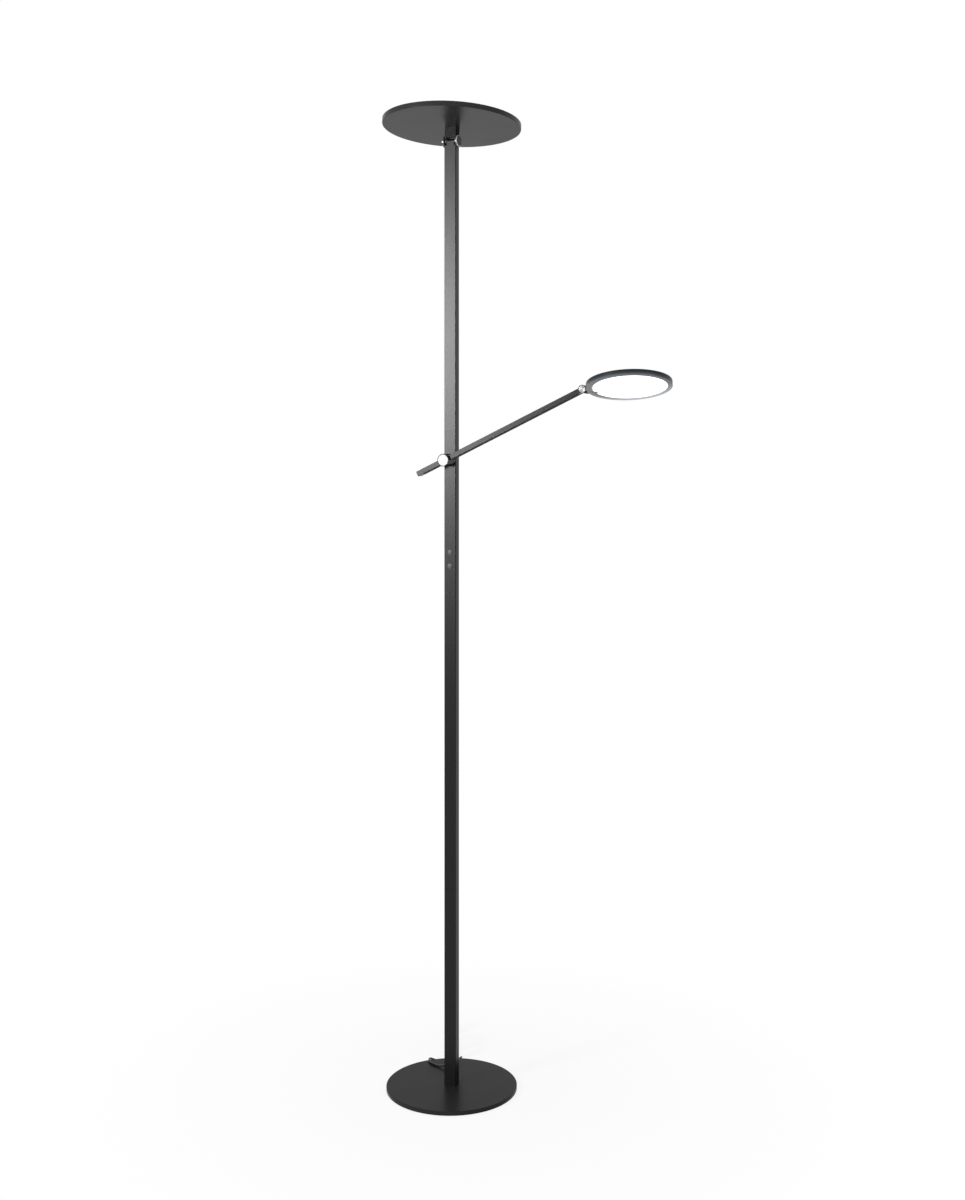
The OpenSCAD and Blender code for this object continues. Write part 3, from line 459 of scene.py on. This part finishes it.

# The lower diffuser, lit. Its rim and a spot at the ring's tab are painted grey and dimmed:
# painted shade from the ring's lip and a painted shadow of the tab. The grey rim is widest
# on the left, because the lit part's middle lies a little to the right.
TAB = (-0.068, 0, -0.0044)
LIT_MIDDLE = (READING[0] + 0.002, READING[1], READING[2])
lit_reading = lit_face("lit_reading_face", "f3f7ff", DIFFUSER_POWER)
tree = lit_reading.node_tree
tab = add(tree, "ShaderNodeVectorMath", operation="DISTANCE")
tab.inputs[1].default_value = TAB
tree.links.new(own_place(tree, READING, READING_TURN), tab.inputs[0])
out_from = flattened(tree, own_place(tree, LIT_MIDDLE, READING_TURN), (1, 1, 0))[1]
lit = times(tree, span(tree, tab.outputs["Value"], start=0.004, end=0.0085),
            span(tree, out_from, start=0.0706, end=0.067))
blend(lit_reading, lit, "a1a3a5", "f4f6f7")
tree.links.new(span(tree, times(tree, lit, lit), start=0, end=1, high=DIFFUSER_POWER),
               tree.nodes["Principled BSDF"].inputs["Emission Strength"])

# Pieces with a finish of their own; the others have that of their slot.
own_finish = {"arm_tube": arm_coat, "arm_stub": arm_coat, "pivot_cap": pivot_face,
              "knuckle_pin": turned_face_painted_fans, "uplight_pan": disc_coat,
              "reading_pan": wall_painted_sheen_glow, "reading_diffuser": lit_reading,
              "joint_sleeves": sleeve_finish}

for part in frame["record"]["subparts"]:
    mesh = nodes[part["node"]].data
    mesh.materials.clear()
    mesh.materials.append(own_finish.get(part["node"]) or finish[part["material_slot"]])
cord_curve.materials.append(finish["cord_black"])


# ---- Floor, background and light

def seen(tree):
    """Two outputs: 1 for what the camera sees straight, else 0, and the same with what it
    sees in a mirror or through glass."""
    path = add(tree, "ShaderNodeLightPath")
    total = path.outputs["Is Camera Ray"]
    for name in ("Is Glossy Ray", "Is Transmission Ray"):
        most = add(tree, "ShaderNodeMath", operation="MAXIMUM")
        tree.links.new(total, most.inputs[0])
        tree.links.new(path.outputs[name], most.inputs[1])
        total = most.outputs[0]
    return path.outputs["Is Camera Ray"], total


FLOOR_R = 9
FLOOR_Z = -0.0002
FLOOR_SIDES = 96
floor_mesh = bpy.data.meshes.new("floor")
ring = [(FLOOR_R * math.cos(a), FLOOR_R * math.sin(a), FLOOR_Z)
        for a in (math.tau * k / FLOOR_SIDES for k in range(FLOOR_SIDES))]
floor_mesh.from_pydata(ring, [], [tuple(range(FLOOR_SIDES))])
floor = link(bpy.data.objects.new("floor", floor_mesh))

# A pale floor with the lamp's soft shadow on it, which fades to the white backdrop.
floor_mat = bpy.data.materials.new("pale_floor")
floor_mat.use_nodes = True
tree = floor_mat.node_tree
tree.nodes.clear()
away = flattened(tree, own_place(tree, (0, 0, 0)), (1, 1, 0))[1]
fade = span(tree, away, start=0.2, end=0.8, low=0.85)
matt = add(tree, "ShaderNodeBsdfDiffuse", Color=(0.8, 0.8, 0.8, 1))
glow = add(tree, "ShaderNodeEmission", Strength=1.0)
both = add(tree, "ShaderNodeMixShader")
out = add(tree, "ShaderNodeOutputMaterial")
tree.links.new(times(tree, seen(tree)[1], fade), both.inputs[0])
tree.links.new(matt.outputs[0], both.inputs[1])
tree.links.new(glow.outputs[0], both.inputs[2])
tree.links.new(both.outputs[0], out.inputs["Surface"])
floor_mesh.materials.append(floor_mat)

# White where the camera looks. Reflections show the white backdrop behind the lamp and a
# dim room in front of it, and the light that falls on the lamp is soft and grey.
world = bpy.data.worlds.new("studio")
scene.world = world
world.use_nodes = True
tree = world.node_tree
tree.nodes.clear()
room = add(tree, "ShaderNodeBackground", Color=(0.22, 0.22, 0.224, 1), Strength=1.0)
backdrop = add(tree, "ShaderNodeBackground", Color=(1, 1, 1, 1), Strength=1.0)
back = split(tree, add(tree, "ShaderNodeTexCoord").outputs["Generated"])["Y"]
level = add(tree, "ShaderNodeMath", operation="MAXIMUM")
pick = add(tree, "ShaderNodeMixShader")
out = add(tree, "ShaderNodeOutputWorld")
straight, visible = seen(tree)
tree.links.new(span(tree, back, start=0.0, end=0.6, low=0.3), level.inputs[0])
tree.links.new(straight, level.inputs[1])
tree.links.new(level.outputs[0], backdrop.inputs["Strength"])
tree.links.new(visible, pick.inputs[0])
tree.links.new(room.outputs[0], pick.inputs[1])
tree.links.new(backdrop.outputs[0], pick.inputs[2])
tree.links.new(pick.outputs[0], out.inputs["Surface"])


def area_light(name, place, aim, width, height, power):
    """A rectangular soft light at place, turned towards aim."""
    data = bpy.data.lights.new(name, "AREA")
    data.shape = "RECTANGLE"
    data.size = width
    data.size_y = height
    data.energy = power
    obj = link(bpy.data.objects.new(name, data))
    obj.location = place
    obj.rotation_euler = (Vector(aim) - Vector(place)).to_track_quat("-Z", "Y").to_euler()
    return obj


# A tall soft box at the front left, brightest in its middle, whose reflection is the
# sheen on the pole and the arm. KEY_LEVELS gives its light from its foot to its head.
KEY_LEVELS = [(0.0, 0.03), (0.12, 0.1), (0.23, 0.15), (0.31, 0.22), (0.38, 0.76),
              (0.46, 0.93), (0.56, 1.0), (0.68, 0.98), (0.75, 0.58), (0.82, 0.36),
              (0.9, 0.25), (1.0, 0.24)]
key = area_light("key", place=(-1.477, -2.611, 1.5), aim=(0, 0, 1.5), width=0.525,
                 height=2.0, power=165)
key.data.use_nodes = True
tree = key.data.node_tree
height = split(tree, add(tree, "ShaderNodeNewGeometry").outputs["Parametric"])["Y"]
levels = add(tree, "ShaderNodeValToRGB")
for spot, _ in KEY_LEVELS[1:-1]:
    levels.color_ramp.elements.new(spot)
for stop, (spot, level) in zip(levels.color_ramp.elements, KEY_LEVELS):
    stop.position = spot
    stop.color = (level, level, level, 1)
tree.links.new(height, levels.inputs["Fac"])
tree.links.new(levels.outputs["Color"], tree.nodes["Emission"].inputs["Strength"])

area_light("right", place=(2.8, -0.6, 1.9), aim=(0, 0, 1.5), width=1.2, height=1.2,
           power=14)
area_light("top", place=(0, 0.4, 3.6), aim=(0, 0, 0), width=2.4, height=2.4, power=60)

scene.view_settings.view_transform = "Standard"

bpy.context.view_layer.update()
